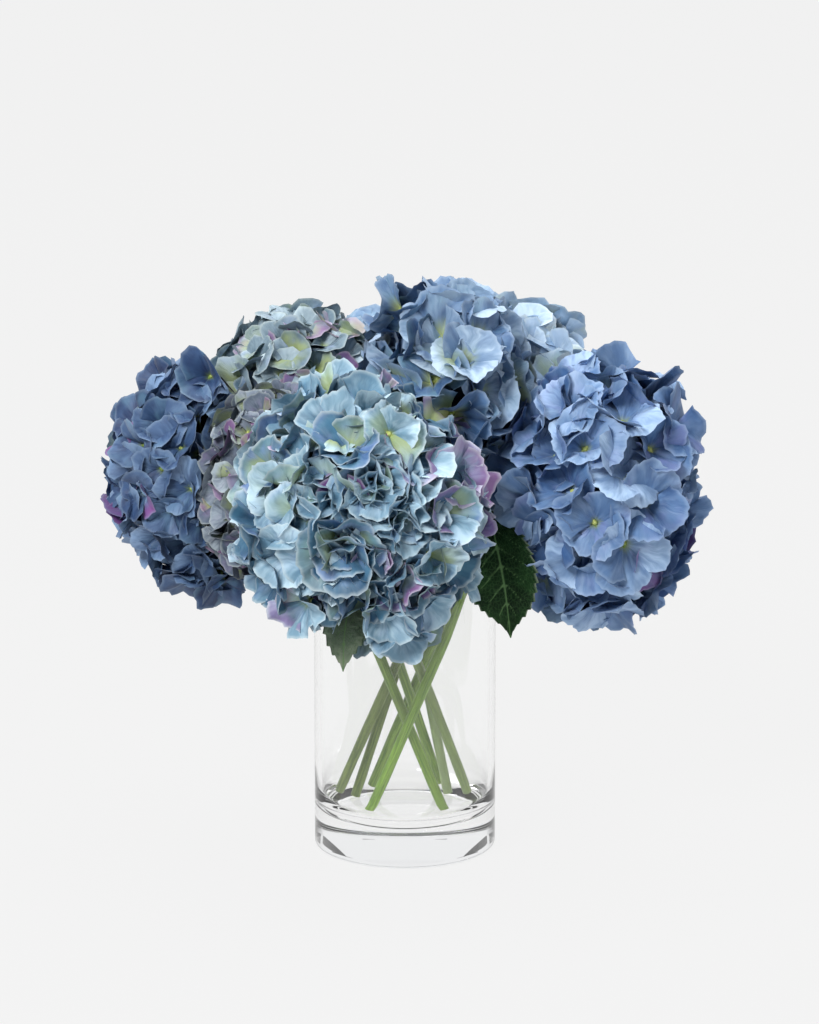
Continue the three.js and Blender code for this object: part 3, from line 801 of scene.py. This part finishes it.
def bend_clear(points, walls):
    """Bends points back to their own side of every wall and out of the vase, with no folds."""
    for normal, at in walls:
        points = points - normal * pressed((at - points) @ normal, WALL_ZONE)[..., None]
    radius = np.hypot(points[..., 0], points[..., 1])
    beside = radius - VASE["radius"]
    above = points[..., 2] - VASE["height"]
    push = pressed(np.maximum(beside, above), VASE_ZONE)
    away = points[..., :2] / np.maximum(radius, 1e-6)[..., None]
    moved = points.copy()
    moved[..., :2] += away * np.where(beside > above, push, 0)[..., None]
    moved[..., 2] += np.where(beside > above, 0, push)
    return moved


def spread_directions(count, rng):
    """Directions spread evenly over a sphere by the golden angle, each a little astray."""
    i = np.arange(count)
    z = 1 - (2 * i + 1) / count
    ring = np.sqrt(1 - z * z)
    turn = i * math.pi * (3 - math.sqrt(5))
    even = np.stack([ring * np.cos(turn), ring * np.sin(turn), z], axis=1)
    return unit(even + rng.normal(0, SPREAD_JITTER / math.sqrt(count), even.shape))


def floret_places(name, walls, depth, spacing, rng):
    """Where each floret meets the ellipsoid this deep in its head, its outward way, its axis and
    whether it is a rosette."""
    head = HEADS[name]
    centre = np.array(head.centre, float)
    radii = np.array(head.radii, float) - depth
    count = round(4 * math.pi * radii.mean() ** 2 / (HEXAGON_SHARE * spacing**2))
    directions = spread_directions(count, rng)
    surface = centre + directions * radii
    stem_way = unit((stem_line(name, 60)[-1] - centre) / radii)
    keep = directions @ stem_way < math.cos(BARE_ANGLE)
    for normal, at in walls:
        keep &= (at - surface) @ normal > -OVER_WALL
    for way, at in TRIMS.get(name, []):
        keep &= (surface - at) @ unit(way) < 0
    beside = np.hypot(surface[:, 0], surface[:, 1]) >= VASE["radius"]
    keep &= beside | (surface[:, 2] >= VASE["height"])
    for leaf in LEAVES.values():
        rib = smooth_curve(leaf.blade, 12)
        keep &= np.linalg.norm(surface[:, None] - rib[None], axis=2).min(axis=1) > leaf.room
        _, clear, before = past_opening(surface, surface, leaf)
        keep &= (clear > OPENING_MARGIN) | (before < 0.5)
    directions = directions[keep]
    outward = unit(directions / radii)
    axes = unit(outward + rng.normal(0, AXIS_JITTER, outward.shape))
    full = np.zeros(len(axes), bool)
    if name in ROSETTE_WAYS:
        full = directions @ unit(ROSETTE_WAYS[name]) > ROSETTE_COSINE
    return surface[keep], outward, axes, full


# A petal's outline and relief as shares of its length. fan is half the angle that its sides open
# to, lobes and pleats are (depth, radians from middle to side), notch is (depth, width), teeth how
# far the margin's points stray and every_other what is added to every other one. half_thickness is
# in millimetres at the claw, and thinning how much of it is lost towards the tip.
PETAL = {
    "fan": math.radians(60), "lobes": ((0.05, 4.2), (0.022, 11)), "notch": (0.08, 0.15),
    "teeth": 0.018, "every_other": 0.028, "claw": 0.05, "pleats": (0.011, 15),
    "half_thickness": 0.34, "thinning": 0.6,
}
# How far a petal strays in its turn round the floret, in its rises at the claw and at the tip and
# in its roll to one side, in radians, then its mean roll and the range of its cup
STRAY = {"turn": 0.13, "claw": 0.12, "tip": 0.3, "roll": 0.1}
ROLL = 0.22
CUP_RANGE = (-0.05, 0.55)
# The ranges of lengths as shares, for the florets of a head, its inner ones and the petals of one
LENGTHS = {"floret": (0.88, 1.12), "inner": (0.9, 1.1), "petal": (0.86, 1.1)}
# The places of a petal's rows from claw to tip, by the number of rows
ROW_SHARES = {
    3: (0, 0.4, 0.76, 1), 4: (0, 0.26, 0.56, 0.84, 1), 5: (0, 0.2, 0.44, 0.68, 0.88, 1),
}


def whorl_petals(florets, whorls, base, axes, length, head, rng):
    """The claw, outward way, axis, size, rises and floret number of each of these petals."""
    parts = []
    for petals, claw_rise, tip_rise, share, ring in whorls:
        owner = np.repeat(florets, petals)
        count = len(owner)
        spin = np.repeat(rng.uniform(0, math.tau, len(florets)), petals)
        even = np.tile(np.arange(petals) * math.tau / petals, len(florets))
        angle = spin + even + rng.normal(0, STRAY["turn"], count)
        up = axes[owner]
        first = unit(np.cross(up, (0.31, 0.22, 0.93)))
        second = np.cross(up, first)
        out = first * np.cos(angle)[:, None] + second * np.sin(angle)[:, None]
        size = length[owner] * share * rng.uniform(*LENGTHS["petal"], count)
        start = np.radians(head.rise[0] + claw_rise) + rng.normal(0, STRAY["claw"], count)
        end = np.radians(head.rise[1] + tip_rise) + rng.normal(0, STRAY["tip"], count)
        parts.append((base[owner] + out * ring, out, up, size, start, end, owner))
    return [np.concatenate(values) for values in zip(*parts)]


def petal_sheets(*values, head, grid, rng):
    """A grid of points for each petal, and their places: across, along and the petal's number.
    values are its claw, outward way, axis, size and rises."""
    claw, out, up, size, start, end = (v[:, None, None] for v in values)
    one = size.shape

    def wave(rate):
        """A wave from side to side that starts anywhere."""
        return np.sin(u * rate + rng.uniform(0, math.tau, one))

    columns, rows = grid
    u = np.linspace(-1, 1, columns + 1)
    t = np.array(ROW_SHARES[rows])[:, None]
    theta = u * PETAL["fan"] * (0.6 + 0.4 * t**0.8)
    broad, small = [depth * wave(rate) for depth, rate in PETAL["lobes"]]
    depth, width = PETAL["notch"]
    notch = -depth * rng.uniform(0, 1, one) * np.exp(-((u / width) ** 2))
    teeth = rng.uniform(-PETAL["teeth"], PETAL["teeth"], (len(size), 1, columns + 1))
    teeth[..., ::2] += PETAL["every_other"]
    outline = 1 + (broad + small + notch) * t**2 + teeth * t**9
    radius = np.cos(0.8 * u * PETAL["fan"]) ** 0.8 * outline
    x = size * (radius * t * np.sin(theta) + PETAL["claw"] * (1 - t) * u)
    y = size * radius * t * np.cos(theta)

    # The petal is rolled along its length, from its rise at the claw to that at its tip
    bend = np.where(np.abs(end - start) < 0.02, 0.02, end - start)
    slope = start + bend * y / size
    forward = (np.sin(slope) - np.sin(start)) / (bend / size)
    height = (np.cos(start) - np.cos(slope)) / (bend / size)

    # Ripples along the margin, pleats out from the claw, a cup and a roll to one side
    waves = head.waves * math.pi
    swell = head.ruffle * rng.uniform(0.5, 1.4, one)
    ripple = swell * t**1.7 * wave(waves)
    ripple = ripple + 0.4 * swell * t**3 * wave(2.3 * waves)
    depth, pleats = PETAL["pleats"]
    pleat = depth * size * np.sqrt(t) * (1 - 0.5 * t) * wave(pleats)
    cup = rng.uniform(*CUP_RANGE, one) * x**2 / size
    roll = ROLL + rng.normal(0, STRAY["roll"], one)
    lift = ripple + pleat + cup + x * np.sin(roll)
    lift_way = np.cos(slope)[..., None] * up - np.sin(slope)[..., None] * out
    sheets = (
        claw
        + out * forward[..., None]
        + up * height[..., None]
        + np.cross(up, out) * (x * np.cos(roll))[..., None]
        + lift_way * lift[..., None]
    )
    places = np.broadcast_arrays(u, t, rng.uniform(0, 1, one), x)[:3]
    return sheets, np.stack(places, axis=-1)


# The most that a floret is light by, and each of its petals besides: partly the silk's own paler
# tone and partly painted highlight
LIGHTNESS = (0.62, 0.4)
# How many times a head's share of patches is the share of its florets that may carry magenta, the
# share of their petals that do, and how strong the magenta and the yellow-green are
STAINED_FLORETS = 2.2
STAINED_PETALS = 0.45
PATCH_RANGE = (0.6, 1)
LIME_RANGE = (0.3, 0.8)


def dyes_and_highlights_of_petals(owner, plain, dye, rng):
    """How light each petal is, partly by dye and partly as painted highlight, and how much magenta
    and yellow-green it carries. The last florets, as many as plain, carry no magenta."""
    florets = owner.max() + 1
    count = len(owner)
    light = rng.uniform(0, LIGHTNESS[0], florets)[owner] + rng.uniform(0, LIGHTNESS[1], count)
    stained = rng.uniform(0, 1, florets) < STAINED_FLORETS * dye.patch
    stained = stained[owner] & (owner < florets - plain)
    patch = stained * (rng.uniform(0, 1, count) < STAINED_PETALS)
    patch = patch * rng.uniform(*PATCH_RANGE, count)
    lime = (rng.uniform(0, 1, count) < dye.lime) * rng.uniform(*LIME_RANGE, count)
    return np.stack([light, patch, lime], axis=-1)


def icosphere(subdivisions):
    """Points and triangles of a ball of radius 1."""
    golden = (1 + math.sqrt(5)) / 2
    points = [(-1, golden, 0), (1, golden, 0), (-1, -golden, 0), (1, -golden, 0)]
    points += [(z, x, y) for x, y, z in points] + [(y, z, x) for x, y, z in points]
    points = [unit(p) for p in points]
    faces = [(0, 11, 5), (0, 5, 1), (0, 1, 7), (0, 7, 10), (0, 10, 11), (1, 5, 9), (5, 11, 4)]
    faces += [(11, 10, 2), (10, 7, 6), (7, 1, 8), (3, 9, 4), (3, 4, 2), (3, 2, 6), (3, 6, 8)]
    faces += [(3, 8, 9), (4, 9, 5), (2, 4, 11), (6, 2, 10), (8, 6, 7), (9, 8, 1)]
    for _ in range(subdivisions):
        middles = {}

        def middle(a, b):
            key = (min(a, b), max(a, b))
            if key not in middles:
                middles[key] = len(points)
                points.append(unit(points[a] + points[b]))
            return middles[key]

        faces = [
            face
            for a, b, c in faces
            for ab, bc, ca in [(middle(a, b), middle(b, c), middle(c, a))]
            for face in ((a, ab, ca), (b, bc, ab), (c, ca, bc), (ab, bc, ca))
        ]
    return np.array(points), np.array(faces)


BUD = icosphere(0)
CORE_BALL = icosphere(3)
# The core's size as a share of its head's, and the number, spread and height of its lumps
CORE_SHARE = 0.42
CORE_LUMPS = (26, 0.86, 0.6)
# The petal length for which the stalks and buds are drawn at their own size
STALK_PETAL = 27
# A stalk starts this share of the way out from its head's middle and ends in a straight piece
STALK_START = 0.45
STALK_END = 9
STALK_RADII = np.linspace(0.9, 0.75, 5)
STALK_SIDES = 5
# The buds of a floret as (distance from its axis, size), and how far they stand above its claws
BUDS = ((0, 1.9), (1.7, 1.1), (1.7, 1.1))
BUD_RISE = 1.3
# How much deeper than even a floret stands, and by how many radians a rosette's petals rise more
UNEVEN_RANGE = (-2, 8)
ROSETTE_RISE = 0.55
# A second layer of plainer florets, this share of a petal's length further in, closes the gaps
INNER_DEPTH = 0.55
INNER_SPACING = 1.2
INNER_GRID = (8, 3)


def make_core(name, walls, material, rng):
    """The small lumpy core that the florets stand out of."""
    head = HEADS[name]
    ball, faces = CORE_BALL
    count, spread, height = CORE_LUMPS
    ways = unit(rng.normal(0, 1, (count, 3)))
    lumps = np.max([np.clip(ball @ way - spread, 0, 1) for way in ways], axis=0) * height
    points = np.array(head.centre) + ball * np.array(head.radii) * (CORE_SHARE + lumps)[:, None]
    core = mesh_object(f"head_{name}_core", bend_clear(points, walls), [faces], material)
    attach(core, "root")


def make_stalks(name, bases, axes, walls, material, rng):
    """A thin stalk under each floret and a bunch of buds in its middle. stalk_place holds 1 on a
    bud, and a number of its own."""
    centre = np.array(HEADS[name].centre, float)
    bud_points, bud_faces = BUD
    scale = HEADS[name].petal / STALK_PETAL
    parts = []
    for base, axis in zip(bases, axes):
        root = centre + (base - centre) * STALK_START
        line = smooth_curve([root, base - axis * STALK_END * scale, base], len(STALK_RADII))
        points, faces, place = tube(bend_clear(line, walls), STALK_RADII, STALK_SIDES)
        place[:] = (0, 0, rng.uniform())
        parts.append((points, faces, place))
        sideways = unit(np.cross(axis, rng.normal(0, 1, 3)))
        other = np.cross(axis, sideways)
        for i, (reach, size) in enumerate(BUDS):
            turn = i * 3.1 + rng.uniform(0, 0.5)
            round_axis = reach * (math.cos(turn) * sideways + math.sin(turn) * other)
            points = base + (axis * BUD_RISE + round_axis) * scale + bud_points * size * scale
            parts.append((points, [bud_faces], np.tile((1, 0, rng.uniform()), (len(points), 1))))
    points, faces, places = joined(parts)
    stalks = mesh_object(f"head_{name}_stalks", points, faces, material, {"stalk_place": places})
    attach(stalks, "root")


def make_petals(name, layer, florets, whorl_sets, grid, walls, material, rng):
    """One mesh of all the petals of these florets, given as their bases, axes and petal lengths."""
    head = HEADS[name]
    parts = [
        whorl_petals(chosen, whorls, *florets, head, rng)
        for chosen, whorls in whorl_sets
        if len(chosen)
    ]
    *shapes, owner = [np.concatenate(values) for values in zip(*parts)]
    sheets, place = petal_sheets(*shapes, head=head, grid=grid, rng=rng)
    sheets = open_before_leaves(bend_clear(sheets, walls))
    kept = 1 - PETAL["thinning"] * np.array(ROW_SHARES[grid[1]])[:, None]
    points, faces, source, border = thick_sheet(sheets, PETAL["half_thickness"] * kept)
    petals, per_petal = points.shape[:2]
    starts = np.arange(petals)[:, None, None] * per_petal
    plain = len(LOOSE_FLORETS.get(name, []))
    dye_and_highlight = np.repeat(dyes_and_highlights_of_petals(owner, plain, DYES[name], rng), per_petal, axis=0)
    places = place.reshape(petals, -1, 3)[:, source].reshape(-1, 3)
    piece = mesh_object(
        f"head_{name}_{layer}",
        points.reshape(-1, 3),
        [(faces + starts).reshape(-1, 4)],
        material,
        {"petal_place": places, "petal_dye_and_highlight": dye_and_highlight},
        np.tile(border, petals),
    )
    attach(piece, "root")
    return piece


def make_head(name, green, rng):
    head = HEADS[name]
    walls = walls_of(name)
    dyed = petal_material(f"petals_{name}", DYES[name])
    mean_rise = math.radians(sum(head.rise) / 2)
    surface, outward, axes, full = floret_places(name, walls, head.inset, head.spacing, rng)
    count = len(surface)
    length = head.petal * rng.uniform(*LENGTHS["floret"], count)
    uneven = rng.uniform(*UNEVEN_RANGE, count) * head.petal / STALK_PETAL
    rise = mean_rise + ROSETTE_RISE * full
    base = surface - outward * (length * np.sin(rise) + uneven)[:, None]
    for place, axis, size in LOOSE_FLORETS.get(name, []):
        base = np.vstack([base, place])
        axes = np.vstack([axes, unit(axis)])
        length = np.append(length, size)
        full = np.append(full, False)
    whorl_sets = ((np.flatnonzero(~full), OPEN_WHORLS), (np.flatnonzero(full), ROSETTE_WHORLS))
    florets = (base, axes, length)
    piece = make_petals(name, "petals", florets, whorl_sets, head.grid, walls, dyed, rng)
    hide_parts(f"head_{name}")
    # The core's colour is painted shade
    make_core(name, walls, core_material(f"core_{name}", DYES[name]), rng)
    make_stalks(name, base, axes, walls, green, rng)

    depth = head.inset + INNER_DEPTH * head.petal
    spacing = head.spacing * INNER_SPACING
    surface, outward, axes, _ = floret_places(name, walls, depth, spacing, rng)
    length = head.petal * rng.uniform(*LENGTHS["inner"], len(surface))
    florets = (surface - outward * (length * math.sin(mean_rise))[:, None], axes, length)
    whorl_sets = ((np.arange(len(surface)), OPEN_WHORLS),)
    make_petals(name, "inner", florets, whorl_sets, INNER_GRID, walls, dyed, rng)


# Stage

FLOOR_SIZE = 30000
FLOOR_HEIGHT = -0.0005
# Both ends of each slip: the way round from straight behind in degrees, and the heights it spans
CARD_ENDS = [
    ((26, 150.5, 156), (52, 161, 168)),
    ((22, 152, 154), (38, 149, 154)),
    ((57, 154, 172), (72, 154, 176)),
    ((11.5, 163, 164.5), (17, 161.5, 167)),
]
CARD_DISTANCE = 500
CARD_STEPS = 8
# Each light's place, size and power, and the point that all of them face
LIGHTS = {
    "key": ((-1.3, -2.2, 2.2), (1.2, 1.2), 100),
    "fill": ((2.2, -1.4, 1.0), (1.4, 1.8), 12),
    "top": ((0.2, 0.3, 2.4), (1.8, 1.8), 40),
}
LIT_POINT = (0, 0, 0.25)
WORLD_FRONT = 0.12
WORLD_BACK = 0.85
CAMERA = {
    "elevation": math.radians(14.8), "distance": 4.0, "target": (0.0032, 0.0, 0.2408),
    "focal_px": 5756, "sensor": 36.0,
}
PHOTO_HEIGHT = 1024


def make_floor():
    """A plain pale sweep, bright enough to show no hard shadow."""
    n = Nodes("pale_floor")
    haze = n.noise(n.place(), scale=0.6, detail=1.0)
    glow = n.mix(haze, (0.865, 0.865, 0.865, 1), (0.87, 0.87, 0.87, 1))
    n.set(Base_Color=(0.02, 0.02, 0.02, 1), Roughness=1.0, Specular_IOR_Level=0.0)
    n.set(Emission_Color=glow, Emission_Strength=1.0)
    corners = np.array([(-1, -1, 0), (1, -1, 0), (1, 1, 0), (-1, 1, 0)]) * FLOOR_SIZE
    floor = mesh_object("floor", corners, [np.array([(0, 1, 2, 3)])], n.block)
    floor.location.z = FLOOR_HEIGHT


def make_cards():
    """Grey slips behind at both sides, seen only through the thick foot of the glass, which bends
    them into view as slanting streaks."""
    n = Nodes("grey_card")
    grain = n.noise(n.place(), scale=60.0)
    n.set(Base_Color=n.mix(grain, (0.05, 0.05, 0.05, 1), (0.13, 0.13, 0.13, 1)), Roughness=0.9)
    start = np.arange(CARD_STEPS)
    quads = np.stack([start, start + 1, start + CARD_STEPS + 2, start + CARD_STEPS + 1], 1)
    for side, word in ((-1, "left"), (1, "right")):
        for number, ends in enumerate(CARD_ENDS):
            angle, low, high = np.linspace(*ends, CARD_STEPS + 1).T
            x = side * CARD_DISTANCE * np.sin(np.radians(angle))
            y = CARD_DISTANCE * np.cos(np.radians(angle))
            corners = np.concatenate([np.stack([x, y, z], 1) for z in (low, high)])
            card = mesh_object(f"card_{word}_{number}", corners, [quads], n.block)
            for rays in ("camera", "shadow", "diffuse", "glossy"):
                setattr(card, f"visible_{rays}", False)


def make_light(name, location, size, power):
    data = bpy.data.lights.new(name, "AREA")
    data.shape = "RECTANGLE"
    data.size, data.size_y = size
    data.energy = power
    way = Vector(LIT_POINT) - Vector(location)
    placed(name, data, location).rotation_euler = way.to_track_quat("-Z", "Y").to_euler()


def make_world():
    """A studio that is bright behind the vase and dimmer in front, so that petals keep shade."""
    n = Nodes("studio", "worlds", "Background")
    back = n.split(n.place("Generated"))["Y"]
    n.set(Color=(0.98, 0.988, 1.0, 1), Strength=n.step(back, -0.1, 0.6, WORLD_FRONT, WORLD_BACK))
    bpy.context.scene.world = n.block


def make_camera():
    data = bpy.data.cameras.new("camera")
    data.sensor_width = CAMERA["sensor"]
    data.lens = CAMERA["focal_px"] * CAMERA["sensor"] / PHOTO_HEIGHT
    elevation = CAMERA["elevation"]
    back = Vector((0, -math.cos(elevation), math.sin(elevation)))
    camera = placed("camera", data, Vector(CAMERA["target"]) + back * CAMERA["distance"])
    camera.rotation_euler = (math.pi / 2 - elevation, 0, 0)
    bpy.context.scene.camera = camera


def build():
    make_camera()
    make_world()
    make_floor()
    make_cards()
    for name, values in LIGHTS.items():
        make_light(name, *values)
    make_vase(glass_material())
    rng = np.random.default_rng(SEED)
    stem_green = stem_material()
    for name in STEMS:
        make_stem(name, stem_green, rng)
    leaf_green = leaf_material()
    for name, leaf in LEAVES.items():
        make_leaf(name, leaf, leaf_green)
    floret_green = stalk_material()
    for index, name in enumerate(HEADS):
        make_head(name, floret_green, np.random.default_rng(SEED * 100 + index))
    bpy.context.scene.view_settings.view_transform = "Standard"


build()
